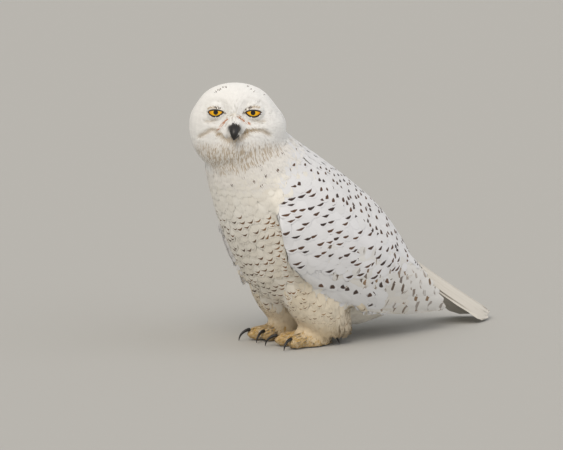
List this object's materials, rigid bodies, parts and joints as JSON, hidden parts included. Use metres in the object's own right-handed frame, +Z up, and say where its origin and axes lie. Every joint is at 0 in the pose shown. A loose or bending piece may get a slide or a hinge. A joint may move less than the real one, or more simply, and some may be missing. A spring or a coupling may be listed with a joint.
{
  "type": "snowy owl",
  "caption": "Life-size still snowy owl standing on both feet with folded wings, its head turned over the left shoulder.",
  "frame": {"origin": "on the floor under the middle of the bird's bounding box", "axes": "+Z up, -Y the way the body faces, +X the bird's left side"},
  "size_m": [0.2174, 0.5376, 0.409],
  "materials": {
    "head_feathers": "matte down",
    "body_feathers": "matte down with brown bars",
    "wing_feathers": "matte vanes with brown marks",
    "tail_feathers": "matte vanes",
    "foot_feathers": "matte bristly down",
    "eye": "wet gloss",
    "horn": "smooth horn"
  },
  "bodies": {
    "root": {"head": "head_feathers", "eye_left": "eye", "eye_right": "eye", "bill_upper": "horn", "bill_lower": "horn", "neck": "head_feathers", "trunk": "body_feathers", "wing_left_arm": "wing_feathers", "wing_left_secondaries": "wing_feathers", "wing_left_primaries": "wing_feathers", "wing_right_arm": "wing_feathers", "wing_right_secondaries": "wing_feathers", "wing_right_primaries": "wing_feathers", "tail": "tail_feathers", "leg_left": "body_feathers", "foot_left": "foot_feathers", "claw_left_inner": "horn", "claw_left_middle": "horn", "claw_left_outer": "horn", "claw_left_hind": "horn", "leg_right": "body_feathers", "foot_right": "foot_feathers", "claw_right_inner": "horn", "claw_right_middle": "horn", "claw_right_outer": "horn", "claw_right_hind": "horn"}
  },
  "joints": []
}
